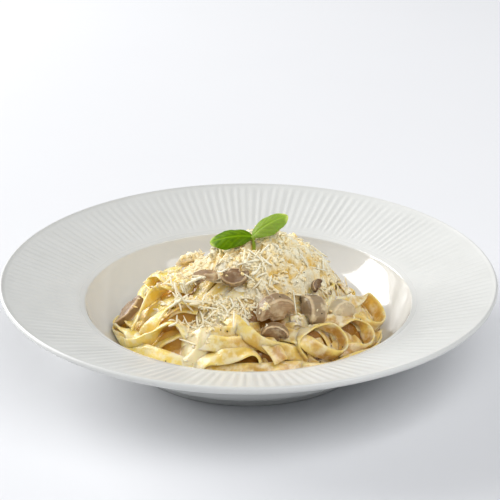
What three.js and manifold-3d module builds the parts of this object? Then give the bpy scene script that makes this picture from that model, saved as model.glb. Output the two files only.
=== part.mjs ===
// Creamy mushroom fettuccine in a wide-rimmed porcelain pasta plate.
//
// Millimetres, +Z up. The origin is the centre of the plate's foot ring, on the table.
// The diner sits at -Y. Azimuths are in degrees about +Z, counter-clockwise from +X.
import * as THREE from "three";
import { mergeVertices } from "three/addons/utils/BufferGeometryUtils.js";
import Module from "manifold-3d";

const wasm = await Module();
wasm.setup();

// ---------------------------------------------------------------- driving dimensions

const PLATE = {
  rimRadius: 145, // to the outermost edge
  rimHeight: 51, // top of the outer edge
  wellRadius: 97, // where the rim breaks into the well
  wellEdgeHeight: 34.5,
  floorRadius: 56, // flat bottom of the well
  floorHeight: 7,
  wall: 5, // porcelain thickness
  lip: 2.4, // radius of the rolled edge
  footRadius: 70,
  footWidth: 6,
  recess: 2.5, // underside inside the foot ring
  segments: 60,
};
const CONTACT_GAP = 0.3; // between two pieces that rest on each other
const SIMPLEST = 0.18; // detail finer than this is left out of a cut solid
const MOUND = { x: 1, y: 0, base: 8, peak: 62, radius: 81 }; // the body of the pasta
const CROWN = { x: 8, y: 0, base: 8, peak: 71, radius: 69 }; // the top of what lies on it
const RIBBON = { width: 8.4, thickness: 1.8, rooted: 5, step: 10 };
const SLICE = { capWidth: 25, capHeight: 12, stemWidth: 8, bevel: 0.8 };
const LEAF = { width: 14.5, thickness: 0.9 };
const STEM = { radius: 1, length: 14 };

// ---------------------------------------------------------------- helpers

const radians = THREE.MathUtils.degToRad;
const vector = (x, y, z) => new THREE.Vector3(x, y, z);

// Moves each vertex of a geometry by a function of its place.
function reshaped(geometry, move) {
  const places = geometry.getAttribute("position");
  const place = new THREE.Vector3();
  for (let i = 0; i < places.count; i++) {
    place.fromBufferAttribute(places, i);
    move(place);
    places.setXYZ(i, place.x, place.y, place.z);
  }
  return geometry;
}

// A closed geometry as a solid that can be cut and joined.
function solidOf(geometry) {
  const bare = new THREE.BufferGeometry();
  bare.setAttribute("position", geometry.getAttribute("position"));
  bare.setIndex(geometry.getIndex());
  const merged = mergeVertices(bare, 1e-3);
  return new wasm.Manifold(
    new wasm.Mesh({
      numProp: 3,
      vertProperties: new Float32Array(merged.getAttribute("position").array),
      triVerts: new Uint32Array(merged.getIndex().array),
    }),
  );
}

// A mesh's solid in the part's frame.
function solidInPlace(mesh, geometry = mesh.geometry) {
  mesh.updateWorldMatrix(true, false);
  return solidOf(geometry.clone().applyMatrix4(mesh.matrixWorld));
}

// A solid back as a geometry. Crumbs that a cut leaves loose are dropped.
function geometryOf(solid) {
  const [largest] = solid.simplify(SIMPLEST).decompose().sort((a, b) => b.volume() - a.volume());
  const mesh = largest.getMesh();
  const geometry = new THREE.BufferGeometry();
  geometry.setAttribute("position", new THREE.BufferAttribute(mesh.vertProperties, 3));
  geometry.setIndex(new THREE.BufferAttribute(mesh.triVerts, 1));
  geometry.computeVertexNormals();
  return geometry;
}

// Turns an outline in the (radius, height) plane about +Z.
function turned(outline, segments) {
  const points = outline.map(([radius, height]) => new THREE.Vector2(radius, height));
  return new THREE.LatheGeometry(points, segments).rotateX(Math.PI / 2);
}

// Points on an ellipse in the (radius, height) plane, from one angle to another.
function arc(centre, semiAxes, from, to, steps) {
  return Array.from({ length: steps + 1 }, (_, i) => {
    const angle = radians(THREE.MathUtils.lerp(from, to, i / steps));
    return [centre[0] + semiAxes[0] * Math.sin(angle), centre[1] - semiAxes[1] * Math.cos(angle)];
  });
}

// ---------------------------------------------------------------- plate

const wellDepth = PLATE.wellEdgeHeight - PLATE.floorHeight - 2; // 2 mm are the rounding at its edge
const wallCentre = [PLATE.floorRadius, PLATE.floorHeight + wellDepth];
const wallReach = PLATE.wellRadius - 2.5 - PLATE.floorRadius;

// The well from its centre out to its edge, drawn in by a gap where food lies in it.
function wellOutline(gap = 0) {
  return [
    [0, PLATE.floorHeight + gap],
    ...arc(wallCentre, [wallReach - gap, wellDepth - gap], 0, 84, 6),
    [PLATE.wellRadius - gap, PLATE.wellEdgeHeight + gap / 2],
  ];
}

function plateGeometry() {
  const { rimRadius, rimHeight, lip, wall, footRadius, footWidth, recess } = PLATE;
  const rimSlope = (rimHeight - PLATE.wellEdgeHeight) / (rimRadius - PLATE.wellRadius);
  const underRim = (radius) => PLATE.wellEdgeHeight + (radius - PLATE.wellRadius) * rimSlope - wall;
  const outerWall = [wallReach + wall, wellDepth + wall];
  const outline = [
    [0, recess],
    [footRadius - footWidth - 1, recess],
    [footRadius - footWidth, 0],
    [footRadius, 0],
    ...arc(wallCentre, outerWall, 22, 78, 4),
    [PLATE.wellRadius + wall + 4, underRim(PLATE.wellRadius + wall + 4)],
    [rimRadius - 7, underRim(rimRadius - 7)],
    ...arc([rimRadius - lip, rimHeight - lip], [lip, lip], 30, 180, 5),
    ...wellOutline().reverse(),
  ];
  return turned(outline, PLATE.segments);
}

// ---------------------------------------------------------------- mound of pasta

// Height of a mound above a place, as a paraboloid.
function moundHeight(mound, x, y) {
  const spread = ((x - mound.x) ** 2 + (y - mound.y) ** 2) / mound.radius ** 2;
  return mound.base + (mound.peak - mound.base) * (1 - spread);
}

// The place on the mound at an azimuth and a height, raised off it by a lift.
function onMound(azimuth, height, lift = 0) {
  const share = (height - MOUND.base) / (MOUND.peak - MOUND.base);
  const radius = MOUND.radius * Math.sqrt(Math.max(0, 1 - share));
  const angle = radians(azimuth);
  const place = vector(MOUND.x + radius * Math.cos(angle), MOUND.y + radius * Math.sin(angle), height);
  return place.addScaledVector(moundNormal(place), lift);
}

function moundNormal(place) {
  const steepness = (2 * (MOUND.peak - MOUND.base)) / MOUND.radius ** 2;
  return vector((place.x - MOUND.x) * steepness, (place.y - MOUND.y) * steepness, 1).normalize();
}

// Uneven swelling of a heap, in millimetres.
function lumps(x, y) {
  return Math.sin(x / 7.1 + 1.3) * Math.cos(y / 8.3) + 0.8 * Math.sin((x + y) / 5.2 + 0.4);
}

// A mound with a lumpy top that goes down below the well.
function moundSolid(mound, lumpHeight, grow, segments, rings) {
  const outline = [[0, 0]];
  for (let i = 0; i <= rings; i++) {
    const radius = (mound.radius + grow) * (1.03 - 1.03 * (i / rings));
    outline.push([radius, moundHeight(mound, mound.x + radius, mound.y) + grow]);
  }
  outline[0][0] = 0;
  const geometry = turned([[0, 0], [(mound.radius + grow) * 1.03, 0], ...outline.slice(1)], segments);
  geometry.translate(mound.x, mound.y, 0);
  return solidOf(
    reshaped(geometry, (place) => {
      if (place.z > 0) place.z += lumpHeight * lumps(place.x, place.y);
    }),
  );
}

// A flat noodle along the mound. Each point of its path is [azimuth, height, lift, tilt]:
// tilt 0 lies flat on the mound, 90 stands on its edge. A flat one is rooted in the mound.
function ribbonSolid(path, closed, grow) {
  const route = new THREE.CatmullRomCurve3(path.map(([a, h, lift]) => onMound(a, h, lift)), closed);
  const tilts = new THREE.CatmullRomCurve3(path.map(([, , , tilt]) => vector(tilt, 0, 0)), closed);
  const steps = Math.max(4, Math.round(route.getLength() / RIBBON.step));
  const corners = [];
  for (let i = 0; i < (closed ? steps : steps + 1); i++) {
    const share = i / steps;
    const centre = route.getPoint(share);
    const along = route.getTangent(share);
    const tilt = radians(tilts.getPoint(share).x);
    const flatFace = moundNormal(centre).projectOnPlane(along).normalize();
    const face = flatFace.applyAxisAngle(along, tilt);
    const across = along.clone().cross(face);
    const depth = RIBBON.thickness / 2 + RIBBON.rooted * Math.cos(tilt) ** 2;
    const half = RIBBON.width / 2 + grow;
    for (const [side, height] of [[-half, RIBBON.thickness / 2 + grow], [half, RIBBON.thickness / 2 + grow],
      [half, -depth - grow], [-half, -depth - grow]])
      corners.push(centre.clone().addScaledVector(across, side).addScaledVector(face, height));
  }
  const triangles = [];
  const rings = corners.length / 4;
  for (let ring = 0; ring < (closed ? rings : rings - 1); ring++)
    for (let side = 0; side < 4; side++) {
      const [a, b] = [ring * 4 + side, ring * 4 + ((side + 1) % 4)];
      const [c, d] = [(a + 4) % corners.length, (b + 4) % corners.length];
      triangles.push(a, b, c, b, d, c);
    }
  const last = corners.length - 4;
  if (!closed) triangles.push(0, 2, 1, 0, 3, 2, last, last + 1, last + 2, last, last + 2, last + 3);
  const geometry = new THREE.BufferGeometry().setFromPoints(corners).setIndex(triangles);
  return solidOf(geometry);
}

// Noodles that run round the mound, from one azimuth and height to another, with a wave.
function lap(from, to, low, high, wave, tilt) {
  return Array.from({ length: 6 }, (_, i) => {
    const share = i / 5;
    const sway = wave * Math.sin(share * Math.PI * 2);
    return [THREE.MathUtils.lerp(from, to, share), THREE.MathUtils.lerp(low, high, share) + sway, 1.5, tilt];
  });
}

// A loop that stands on its edge, as wide and tall as given, about an azimuth and a height.
function eye(azimuth, height, halfWidth, halfHeight, lean, lift) {
  return Array.from({ length: 8 }, (_, i) => {
    const angle = (i / 8) * Math.PI * 2;
    const [right, up] = [halfWidth * Math.cos(angle), halfHeight * Math.sin(angle)];
    const leaning = radians(lean);
    return [
      azimuth + right * Math.cos(leaning) - up * Math.sin(leaning) * 0.8,
      height + right * Math.sin(leaning) * 0.8 + up * Math.cos(leaning),
      lift,
      80,
    ];
  });
}

const laps = [
  lap(-168, -118, 15, 22, -2, 15),
  lap(-126, -76, 28, 28, 1.5, -10),
  lap(-128, -92, 37, 40, -1, 20),
  lap(-104, -60, 46, 31, 0, -15),
  lap(-92, -34, 21, 19, 1, 10),
  lap(-60, -18, 44, 40, 1, 20),
  lap(-24, 34, 24, 30, 2, -10),
  lap(24, 80, 33, 26, -2, 15),
  lap(64, 124, 24, 38, 2, -15),
  lap(112, 168, 42, 24, 2, 10),
  lap(150, 205, 22, 30, -2, -10),
  lap(30, 110, 50, 48, 2, 10),
  lap(130, 200, 52, 46, 2, -15),
];
const leftSweeps = [
  [[-162, 15, 3, 30], [-150, 20, 3, 40], [-146, 30, 3, 50], [-143, 41, 3, 40], [-132, 47, 2, 20]],
  [[-170, 20, 2, 20], [-172, 34, 3, 40], [-167, 45, 3, 40], [-152, 54, 2, 20]],
  [[170, 22, 2, 20], [173, 33, 4, 60], [-178, 40, 4, 60], [-166, 44, 2, 20]],
];
const eyes = [
  eye(-56, 30, 12, 6, -20, 3),
  eye(-33, 27, 9, 7, 0, 3),
  eye(-8, 29, 9, 8, -30, 2.5),
  eye(-134, 29, 9, 6, 20, 2.5),
  eye(60, 25, 10, 6, 15, 2),
  eye(140, 20, 10, 6, -20, 2),
];

function pastaSolid(grow) {
  const open = [...laps, ...leftSweeps].map((path) => ribbonSolid(path, false, grow));
  const closed = eyes.map((path) => ribbonSolid(path, true, grow));
  const heap = wasm.Manifold.union([moundSolid(MOUND, 1.2, grow, 28, 6), ...open, ...closed]);
  const space = turned([...wellOutline(CONTACT_GAP - grow), [PLATE.wellRadius, 120], [0, 120]], 36);
  return heap.intersect(solidOf(space));
}

// ---------------------------------------------------------------- mushrooms

// A piece of champignon in the XY plane: a domed cap whose edges curl under, and a cut stem.
function sliceGeometry(size, stemLength, thickness, grow) {
  const half = (SLICE.capWidth * size) / 2;
  const top = SLICE.capHeight * size;
  const stem = (SLICE.stemWidth * size) / 2;
  const shape = new THREE.Shape();
  shape.moveTo(-stem, -stemLength);
  shape.lineTo(stem, -stemLength);
  shape.lineTo(stem, 0);
  shape.quadraticCurveTo(half * 0.6, 1.5, half * 0.85, -2);
  shape.quadraticCurveTo(half * 1.15, top * 0.25, half * 0.62, top * 0.78);
  shape.quadraticCurveTo(0, top * 1.22, -half * 0.62, top * 0.78);
  shape.quadraticCurveTo(-half * 1.15, top * 0.25, -half * 0.85, -2);
  shape.quadraticCurveTo(-half * 0.6, 1.5, -stem, 0);
  const depth = thickness - 2 * SLICE.bevel;
  const geometry = new THREE.ExtrudeGeometry(shape, {
    depth,
    steps: 1,
    curveSegments: 2,
    bevelEnabled: true,
    bevelThickness: SLICE.bevel + grow,
    bevelSize: SLICE.bevel + grow,
    bevelOffset: -SLICE.bevel,
    bevelSegments: 1,
  });
  return geometry.translate(0, -top * 0.35, -depth / 2);
}

// [x, y, lift off the mound, turn about its normal, lean back from it, spin in the piece's own plane,
// size, stem length, thickness]
const mushroomPlaces = [
  [14.5, -44.5, 4.4, 8, -60, -4, 0.88, 2.5, 8.5], // the large chunk facing the diner
  [14.5, -55, 2.4, -20, -50, 8, 0.6, 2, 6.5], // below it
  [36, -24, 6, -40, -20, 60, 0.38, 1, 3.5], // a scrap in the edge of the cheese
  [35, -37.2, 3, -106, -82, 0, 0.68, 1, 10.5], // a half with its cut face to the left
  [51.5, -28, 3, -30, -45, -6, 0.72, 2, 7],
  [-23.5, -23.5, 6, 20, 34, 92, 0.76, 5, 4.5],
  [-7.5, -28, 4.2, 10, -12, 176, 0.6, 2, 5],
  [-67, -4, 3.4, 0, 4, -84, 0.95, 2, 5], // down the left side
  [-34, 50, 4, 0, 10, 30, 0.9, 7, 5], // on the far side
  [44, 54, 3.5, 0, 10, 140, 0.85, 6, 5],
];

function mushroomMesh(index, material) {
  const [x, y, lift, turn, lean, spin, size, stemLength, thickness] = mushroomPlaces[index];
  const mesh = new THREE.Mesh(sliceGeometry(size, stemLength, thickness, 0), material);
  mesh.name = `mushroom_${index + 1}`;
  mesh.position.set(x, y, moundHeight(MOUND, x, y));
  const outward = moundNormal(mesh.position);
  mesh.position.addScaledVector(outward, lift);
  const level = vector(0, 0, 1).cross(outward).normalize();
  const uphill = outward.clone().cross(level);
  mesh.quaternion
    .setFromRotationMatrix(new THREE.Matrix4().makeBasis(level, uphill, outward))
    .multiply(new THREE.Quaternion().setFromAxisAngle(vector(0, 0, 1), radians(turn)))
    .multiply(new THREE.Quaternion().setFromAxisAngle(vector(1, 0, 0), radians(-lean)))
    .multiply(new THREE.Quaternion().setFromAxisAngle(vector(0, 0, 1), radians(spin)));
  return mesh;
}

function mushroomClearance(mesh, index) {
  const [size, stemLength, thickness] = mushroomPlaces[index].slice(-3);
  return solidInPlace(mesh, sliceGeometry(size, stemLength, thickness, CONTACT_GAP));
}

// ---------------------------------------------------------------- grated cheese

// A soft heap of shreds over the crown of the pasta, deeper towards +X.
const CHEESE = { x: 12, y: 2, z: 50, spread: [39, 42, 28], lump: 1.4 };

function cheeseSolid() {
  const blob = new THREE.SphereGeometry(1, 18, 10);
  blob.scale(...CHEESE.spread).translate(CHEESE.x, CHEESE.y, CHEESE.z);
  reshaped(blob, (place) => {
    place.x += CHEESE.lump * Math.sin(place.y / 6 + place.z / 9);
    place.y += CHEESE.lump * Math.sin(place.x / 7 + place.z / 8);
  });
  return solidOf(blob).intersect(moundSolid(CROWN, CHEESE.lump, 0, 28, 7));
}

// ---------------------------------------------------------------- basil

// A domed leaf from the origin along +X, pointed at its tip, which curls down.
function leafGeometry(length, curl, grow) {
  const leaf = new THREE.SphereGeometry(1, 12, 9).rotateZ(-Math.PI / 2);
  const { width, thickness } = LEAF;
  return reshaped(leaf, (place) => {
    const share = (place.x + 1) / 2; // 0 at the stalk, 1 at the tip
    const ring = Math.sqrt(Math.max(1e-6, 1 - place.x ** 2)); // what the sphere gives each ring
    const outline = Math.sin(Math.PI * share ** 0.9) ** 0.6;
    place.z = (place.z / ring) * outline ** 0.5 * (thickness / 2 + grow);
    place.y = (place.y / ring) * outline * (width / 2 + grow);
    place.x = share * length + grow * place.x;
    place.z -= 2.6 * (place.y / (width / 2)) ** 2 + curl * (place.x / length) ** 2;
  });
}

function leafSolid(stalk, length, azimuth, rise, roll, curl, grow) {
  const geometry = leafGeometry(length, curl, grow);
  geometry.rotateX(radians(roll)).rotateY(radians(-rise)).rotateZ(radians(azimuth));
  return solidOf(geometry.translate(stalk.x, stalk.y, stalk.z));
}

// Two leaves on one stalk, pushed into the crown of the heap.
function basilSolid(grow) {
  const foot = vector(3, -7, 61);
  const top = foot.clone().add(vector(-0.6, 0, STEM.length));
  const stalk = new THREE.CylinderGeometry(STEM.radius + grow, STEM.radius * 1.2 + grow, STEM.length, 10);
  stalk.rotateX(Math.PI / 2).translate((foot.x + top.x) / 2, foot.y, (foot.z + top.z) / 2);
  const joint = top.clone().add(vector(0, 0, -0.8));
  const left = leafSolid(joint, 23, 184, 16, -24, 12, grow);
  const right = leafSolid(joint, 20.5, 4, 54, 28, 12, grow);
  return wasm.Manifold.union([solidOf(stalk), left, right]);
}

// ---------------------------------------------------------------- the dish

const materials = {
  porcelain: new THREE.MeshStandardMaterial({ color: 0xe9e8e4, roughness: 0.22 }),
  pasta: new THREE.MeshStandardMaterial({ color: 0xe8c877, roughness: 0.4 }),
  mushroom: new THREE.MeshStandardMaterial({ color: 0xa58e76, roughness: 0.5 }),
  cheese: new THREE.MeshStandardMaterial({ color: 0xf1e3b4, roughness: 0.6 }),
  basil: new THREE.MeshStandardMaterial({ color: 0x4f9422, roughness: 0.4 }),
};

function named(name, geometry, material) {
  const mesh = new THREE.Mesh(geometry, material);
  mesh.name = name;
  return mesh;
}

const dish = new THREE.Group();
const mushrooms = mushroomPlaces.map((_, index) => mushroomMesh(index, materials.mushroom));
const clearances = mushrooms.map(mushroomClearance);
const basilClearance = basilSolid(1.5 * CONTACT_GAP);
const pasta = pastaSolid(0).subtract(wasm.Manifold.union([...clearances, basilClearance]));
const underCheese = [...clearances, basilClearance, pastaSolid(CONTACT_GAP)];
const cheese = cheeseSolid().subtract(wasm.Manifold.union(underCheese));

dish.add(named("plate", plateGeometry(), materials.porcelain));
dish.add(named("pasta", geometryOf(pasta), materials.pasta));
dish.add(...mushrooms);
dish.add(named("grated_cheese", geometryOf(cheese), materials.cheese));
dish.add(named("basil_sprig", geometryOf(basilSolid(0)), materials.basil));

export default dish;
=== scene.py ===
"""Creamy mushroom fettuccine in a ribbed porcelain plate: the looks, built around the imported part.

Lengths are millimetres in the part's frame until a mesh is made, which is in metres.
Azimuths are degrees about +Z from +X; the diner sits at -Y.
"""

from itertools import product

import bpy
import numpy as np
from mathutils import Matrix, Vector
from mathutils.bvhtree import BVHTree


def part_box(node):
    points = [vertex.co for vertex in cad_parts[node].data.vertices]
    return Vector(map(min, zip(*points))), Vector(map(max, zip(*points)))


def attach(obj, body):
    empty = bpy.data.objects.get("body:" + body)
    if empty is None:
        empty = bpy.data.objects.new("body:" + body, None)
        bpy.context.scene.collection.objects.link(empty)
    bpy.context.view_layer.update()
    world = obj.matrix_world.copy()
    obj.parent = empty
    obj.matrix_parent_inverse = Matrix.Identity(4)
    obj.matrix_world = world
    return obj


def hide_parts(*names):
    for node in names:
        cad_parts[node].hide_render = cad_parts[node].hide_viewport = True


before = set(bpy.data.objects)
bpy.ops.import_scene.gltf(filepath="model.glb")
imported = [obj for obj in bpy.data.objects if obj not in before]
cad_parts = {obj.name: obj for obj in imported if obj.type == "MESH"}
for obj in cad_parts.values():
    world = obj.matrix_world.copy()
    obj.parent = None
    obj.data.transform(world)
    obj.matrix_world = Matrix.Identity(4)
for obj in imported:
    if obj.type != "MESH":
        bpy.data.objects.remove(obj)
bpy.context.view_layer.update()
MM = 0.001
rng = np.random.default_rng(7)

# ---- sizes

RIM_RADIUS, _, RIM_HEIGHT = np.array(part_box("plate")[1]) / MM
WELL_RADIUS = 97  # where the rim breaks into the well
WELL_EDGE = 34.5  # height there
FLOOR_RADIUS, FLOOR_HEIGHT = 56, 7
WALL_ARC = np.array([38.5, 25.5])  # half axes of the low part of the well's wall in section
WALL_BEND = np.array([89.8, 19])  # where the lines of both ends of its upper part would meet
WALL_THICKNESS = 5
FOOT_RADIUS, FOOT_WIDTH, RECESS = 74, 6, 2.5
LIP = 1.9  # radius of the rolled edge
RIBS, RIB_DEPTH = 160, 0.45
RIB_SAMPLES = 6  # points across one rib
RIB_START, RIB_END = 99.5, RIM_RADIUS - 6.5  # the radii between which ribs begin and fade out
RIB_FADE = 6  # over this much radius

# Heaps are paraboloids: the axis, the height of the edge and of the top, and the radius.
HEAP = {"x": 2, "y": 0, "base": 8, "peak": 66, "radius": 84}  # the outer noodles
MOUND = {"x": 1, "y": 0, "base": 8, "peak": 62, "radius": 81}  # what the mushrooms lie on
CROWN = {"x": 8, "y": 0, "base": 8, "peak": 71, "radius": 69}  # the top of the cheese
CHEESE_CENTRE, CHEESE_SPREAD = np.array([12, 2]), np.array([39, 42])
CHEESE_REACH = 78  # no crumb lies farther out
NOODLE_WIDTH, NOODLE_THICKNESS = 8.2, 1.6

# ---- arrays and meshes


def unit(vectors):
    return vectors / np.maximum(np.linalg.norm(vectors, axis=-1, keepdims=True), 1e-9)


def ramp(values, low, high):
    """0 below low, 1 above high, and a smooth step between."""
    share = np.clip((values - low) / (high - low), 0, 1)
    return share * share * (3 - 2 * share)


def smoothed(rows, reach):
    """Each row averaged with its neighbours, out to reach rows on both sides."""
    window = np.hanning(2 * reach + 3)[1:-1]
    padded = np.concatenate([rows[:1].repeat(reach, 0), rows, rows[-1:].repeat(reach, 0)])
    flat = padded.reshape(len(padded), -1)
    columns = [np.convolve(column, window / window.sum(), "valid") for column in flat.T]
    return np.stack(columns, 1).reshape(rows.shape)


def spline(points, spacing):
    """Points at an even spacing on a smooth curve through the given ones."""
    points = np.asarray(points, float)
    ends = [2 * points[0] - points[1], *points, 2 * points[-1] - points[-2]]
    share = np.linspace(0, 1, 16, endpoint=False)[:, None]
    pieces = []
    for p0, p1, p2, p3 in zip(ends, ends[1:], ends[2:], ends[3:]):
        cubic = -p0 + 3 * p1 - 3 * p2 + p3
        square = 2 * p0 - 5 * p1 + 4 * p2 - p3
        pieces.append(0.5 * (2 * p1 + (p2 - p0) * share + square * share**2 + cubic * share**3))
    curve = np.concatenate([*pieces, points[-1:]])
    along = np.concatenate([[0], np.cumsum(np.linalg.norm(np.diff(curve, axis=0), axis=1))])
    stops = np.linspace(0, along[-1], max(3, round(along[-1] / spacing) + 1))
    return np.stack([np.interp(stops, along, column) for column in curve.T], 1)


def waves(places, size, phase=0.0):
    """An uneven field between about -1 and 1 over places, with swells about size across."""
    x, y, z = np.moveaxis(np.asarray(places) / size, -1, 0)
    return 0.4 * (
        np.sin(2.9 * x + 1.7 * y + phase) * np.cos(2.3 * z - 1.1 * x + 2 * phase)
        + np.sin(3.7 * y - 1.3 * z + 3 * phase)
        + np.sin(1.9 * x + 4.3 * z - 2.1 * y + 1.3 + phase)
    )


def tube_faces(rings, columns):
    """Quads between rings of points that follow each other."""
    i, j = (part.ravel() for part in np.indices((rings - 1, columns)))
    ahead = (j + 1) % columns
    ring, below = i * columns, (i + 1) * columns
    return np.stack([below + j, below + ahead, ring + ahead, ring + j], 1)


def ringed_faces(rows, columns):
    """Faces of rings of points, from the middle of a top outwards and back under it, with a fan at
    each end to one of two more points after them."""
    ring = np.arange(columns)
    ahead = np.roll(ring, -1)
    last = (rows - 1) * columns
    pole = np.full(columns, rows * columns)
    fans = [np.stack([ring, ahead, pole], 1), np.stack([last + ahead, last + ring, pole + 1], 1)]
    return [tube_faces(rows, columns), np.concatenate(fans)]


def mesh_object(name, points, face_sets, material, **attributes):
    """A smooth mesh from points in millimetres and arrays of faces, one for each number of corners.
    attributes gives numbers for the points, under names that materials can read."""
    mesh = bpy.data.meshes.new(name)
    mesh.vertices.add(len(points))
    mesh.vertices.foreach_set("co", (np.asarray(points, np.float32) * MM).ravel())
    corners = np.concatenate([faces.ravel() for faces in face_sets]).astype(np.int32)
    sizes = np.concatenate([np.full(len(faces), faces.shape[1], np.int32) for faces in face_sets])
    mesh.loops.add(len(corners))
    mesh.loops.foreach_set("vertex_index", corners)
    mesh.polygons.add(len(sizes))
    mesh.polygons.foreach_set("loop_start", np.cumsum(sizes, dtype=np.int32) - sizes)
    mesh.update(calc_edges=True)
    mesh.polygons.foreach_set("use_smooth", np.ones(len(sizes), bool))
    for attribute, values in attributes.items():
        layer = mesh.attributes.new(attribute, "FLOAT", "POINT")
        layer.data.foreach_set("value", np.broadcast_to(values, len(points)).astype(np.float32))
    mesh.materials.append(material)
    made = bpy.data.objects.new(name, mesh)
    bpy.context.scene.collection.objects.link(made)
    return made


def joined(parts):
    """One list of points and one of face sets, from several (points, face_sets)."""
    starts = np.cumsum([0] + [len(points) for points, _ in parts])
    points = np.concatenate([points for points, _ in parts])
    sets = {}
    for start, (_, face_sets) in zip(starts, parts):
        for faces in face_sets:
            sets.setdefault(faces.shape[1], []).append(faces + start)
    return points, [np.concatenate(faces) for faces in sets.values()]


def placed(piece, slot, *nodes):
    """Puts a piece on the part's one body and hides the solids that it stands for. slot is not used.
    """
    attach(piece, "root")
    if nodes:
        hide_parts(*nodes)


HIGH_ABOVE = 150  # a height over all that lies in the plate


class Surface:
    """What lies in the plate so far, for setting things down on it."""

    def __init__(self):
        self.parts = []
        self.tree = None

    def add(self, points, face_sets):
        self.parts.append((np.asarray(points), face_sets))
        self.tree = None

    def height(self, x, y, missing=0.0):
        """Heights of the top surface above places."""
        if self.tree is None:
            points, sets = joined(self.parts)
            faces = [face for faces in sets for face in faces.tolist()]
            self.tree = BVHTree.FromPolygons(points.tolist(), faces)
        down = Vector((0, 0, -1))
        heights = np.full(np.shape(x), missing, float)
        for index in np.ndindex(np.shape(x)):
            hit = self.tree.ray_cast(Vector((x[index], y[index], HIGH_ABOVE)), down)[0]
            if hit is not None:
                heights[index] = hit.z
        return heights


# ---- heaps


def heap_height(heap, place, drop=0.0):
    """Height of a heap above a place, lowered along its slope by drop."""
    reach = np.hypot(place[..., 0] - heap["x"], place[..., 1] - heap["y"])
    radius, peak = heap["radius"] - drop, heap["peak"] - drop
    return heap["base"] + (peak - heap["base"]) * (1 - (reach / radius) ** 2)


def heap_normal(heap, place):
    """The way out of a heap, square to its surface."""
    steep = 2 * (heap["peak"] - heap["base"]) / heap["radius"] ** 2
    normal = np.ones(place.shape)
    normal[..., 0] = (place[..., 0] - heap["x"]) * steep
    normal[..., 1] = (place[..., 1] - heap["y"]) * steep
    return unit(normal)


def on_heap(azimuth, height, lift=0.0):
    """The place on the outer noodles at an azimuth and a height, raised off them by lift."""
    share = (height - HEAP["base"]) / (HEAP["peak"] - HEAP["base"])
    reach = HEAP["radius"] * np.sqrt(max(0.0, 1 - share))
    turn = np.radians(azimuth)
    place = np.array([HEAP["x"] + reach * np.cos(turn), HEAP["y"] + reach * np.sin(turn), height])
    return place + lift * heap_normal(HEAP, place)


def wall_depth(place, gap=1.2):
    """How far a place has gone into the well's wall or floor, and the way out."""
    reach = np.hypot(place[:, 0], place[:, 1])
    out = (reach - FLOOR_RADIUS) / (WALL_ARC[0] - gap)
    down = (FLOOR_HEIGHT + WALL_ARC[1] - place[:, 2]) / (WALL_ARC[1] - gap)
    bent = np.hypot(np.maximum(out, 0), np.maximum(down, 0))
    depth = np.maximum(bent - 1, 0) * WALL_ARC[1]
    way = np.zeros(place.shape)
    inward = -place[:, :2] / np.maximum(reach, 1e-6)[:, None]
    way[:, :2] = inward * (np.maximum(out, 0) / np.maximum(bent, 1e-6))[:, None]
    way[:, 2] = np.maximum(down, 0) / np.maximum(bent, 1e-6)
    return depth, way


# ---- materials


class Paint:
    """A Principled material, with its nodes added one call at a time."""

    def __init__(self, name, **settings):
        self.material = bpy.data.materials.new(name)
        self.material.use_nodes = True
        self.tree = self.material.node_tree
        self.shader = self.tree.nodes["Principled BSDF"]
        for socket, value in settings.items():
            self.shader.inputs[socket.replace("_", " ")].default_value = value
        self.where = self.add("TexCoord").outputs["Object"]

    def add(self, kind, inputs=(), **attributes):
        """Adds a shader node. inputs maps a socket's name or number to a value or to the output
        of another node."""
        made = self.tree.nodes.new("ShaderNode" + kind)
        for attribute, value in attributes.items():
            setattr(made, attribute, value)
        for socket, value in dict(inputs).items():
            if isinstance(value, bpy.types.NodeSocket):
                self.tree.links.new(value, made.inputs[socket])
            else:
                made.inputs[socket].default_value = value
        return made

    def noise(self, size, detail=3):
        """A noise from 0 to 1 whose features are about size millimetres."""
        inputs = {"Vector": self.where, "Scale": 1 / (size * MM), "Detail": detail}
        return self.add("TexNoise", inputs | {"Roughness": 0.55}).outputs["Fac"]

    def curve(self, value, low, high, to_low=0.0, to_high=1.0):
        """value, stretched from low..high to to_low..to_high and held there."""
        inputs = {"Value": value, "From Min": low, "From Max": high}
        inputs |= {"To Min": to_low, "To Max": to_high}
        return self.add("MapRange", inputs, interpolation_type="SMOOTHSTEP").outputs[0]

    def math(self, operation, *values):
        return self.add("Math", enumerate(values), operation=operation).outputs[0]

    def mix(self, share, first, second):
        """Between two colours, by a share from 0 to 1."""
        inputs = {0: share, 6: colour(first), 7: colour(second)}
        return self.add("Mix", inputs, data_type="RGBA").outputs[2]

    def attribute(self, name):
        return self.add("Attribute", attribute_name=name).outputs["Fac"]

    def link(self, socket, value):
        self.tree.links.new(value, self.shader.inputs[socket])

    def scatter(self, weight, depth, radius):
        """Light that goes up to depth metres in, by radius as a share of it for each colour."""
        values = {"Weight": weight, "Scale": depth, "Radius": radius}
        for name, value in values.items():
            self.shader.inputs["Subsurface " + name].default_value = value

    def bump(self, height, depth, coat=False):
        """Relief of depth millimetres, from a height of 0 to 1, and in the coat too where asked."""
        normal = self.add("Bump", {"Height": height, "Distance": depth * MM}).outputs[0]
        self.link("Normal", normal)
        if coat:
            self.link("Coat Normal", normal)


def colour(value):
    """A colour socket as it is, or three 0..255 display values as linear ones."""
    if isinstance(value, bpy.types.NodeSocket):
        return value
    share = np.array(value) / 255
    linear = np.where(share <= 0.04045, share / 12.92, ((share + 0.055) / 1.055) ** 2.4)
    return (*linear, 1)


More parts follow.
